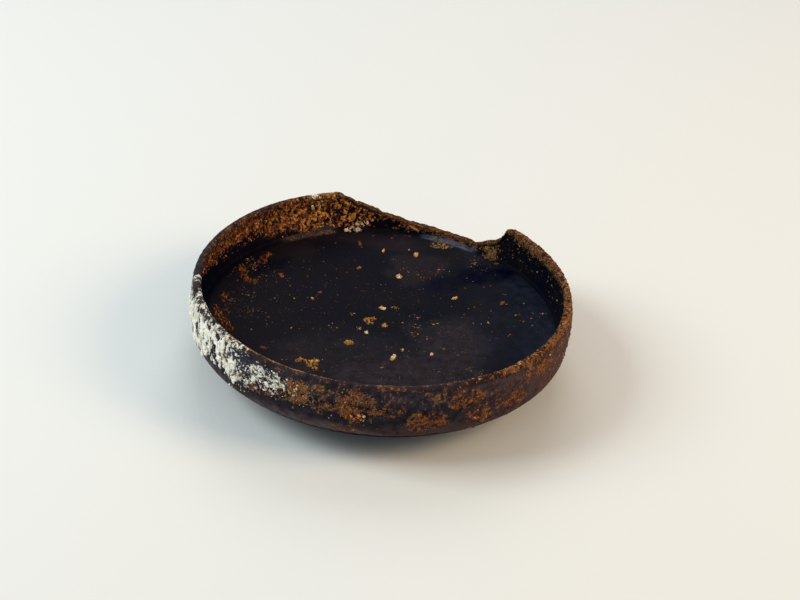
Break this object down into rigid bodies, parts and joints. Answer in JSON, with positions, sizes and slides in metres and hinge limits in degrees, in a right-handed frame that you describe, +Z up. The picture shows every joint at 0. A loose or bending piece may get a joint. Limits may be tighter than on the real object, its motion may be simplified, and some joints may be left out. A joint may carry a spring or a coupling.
{
  "type": "dish",
  "caption": "Shallow round clay dish with a low upright wall and a ring foot, broken away at the back and crusted by the sea.",
  "frame": {"origin": "centre of the ring foot's underside, on the table", "axes": "+Z up along the dish's turning axis; +Y towards the broken side of the wall, -Y towards the whole front"},
  "size_m": [0.2577, 0.2575, 0.058],
  "materials": {
    "dark_slip": "satin",
    "foot_slip": "matte",
    "white_crust": "matte",
    "rust_crust": "matte",
    "ochre_crust": "matte",
    "cream_crust": "matte"
  },
  "bodies": {
    "root": {"dish_body": "dark_slip", "ring_foot": "foot_slip", "crumb_back_left": "rust_crust", "crumb_back_long": "cream_crust", "crumb_back_round": "cream_crust", "crumb_back_rust": "rust_crust", "crumb_back_slim": "cream_crust", "crumb_front_left": "rust_crust", "crumb_front_ochre": "ochre_crust", "crumb_front_small": "cream_crust", "crumb_front_white": "white_crust", "crumb_left_pair": "rust_crust", "crumb_left_rust": "rust_crust", "crumb_left_slim": "cream_crust", "crumb_middle_cream": "cream_crust", "crumb_middle_small": "ochre_crust", "crumb_right_ochre": "ochre_crust", "crumb_right_white": "white_crust", "crumb_wedge": "cream_crust", "crust_front_left": "rust_crust", "crust_left_edge": "rust_crust", "crust_left_loop": "rust_crust", "crust_left_strip": "rust_crust", "crust_middle": "ochre_crust", "grain_crust_inside": "rust_crust", "ochre_crust_break": "ochre_crust", "pale_crust_back": "cream_crust", "rust_patch_front_high": "rust_crust", "rust_patch_front_low": "rust_crust", "rust_patch_front_right": "rust_crust", "rust_patch_front_slim": "rust_crust", "rust_patch_front_tall": "rust_crust", "rust_patch_right_high": "rust_crust", "rust_patch_right_low": "rust_crust", "white_crust_left": "white_crust", "white_flake_broad": "white_crust", "white_flake_tall": "white_crust", "worm_tube": "cream_crust"}
  },
  "joints": []
}
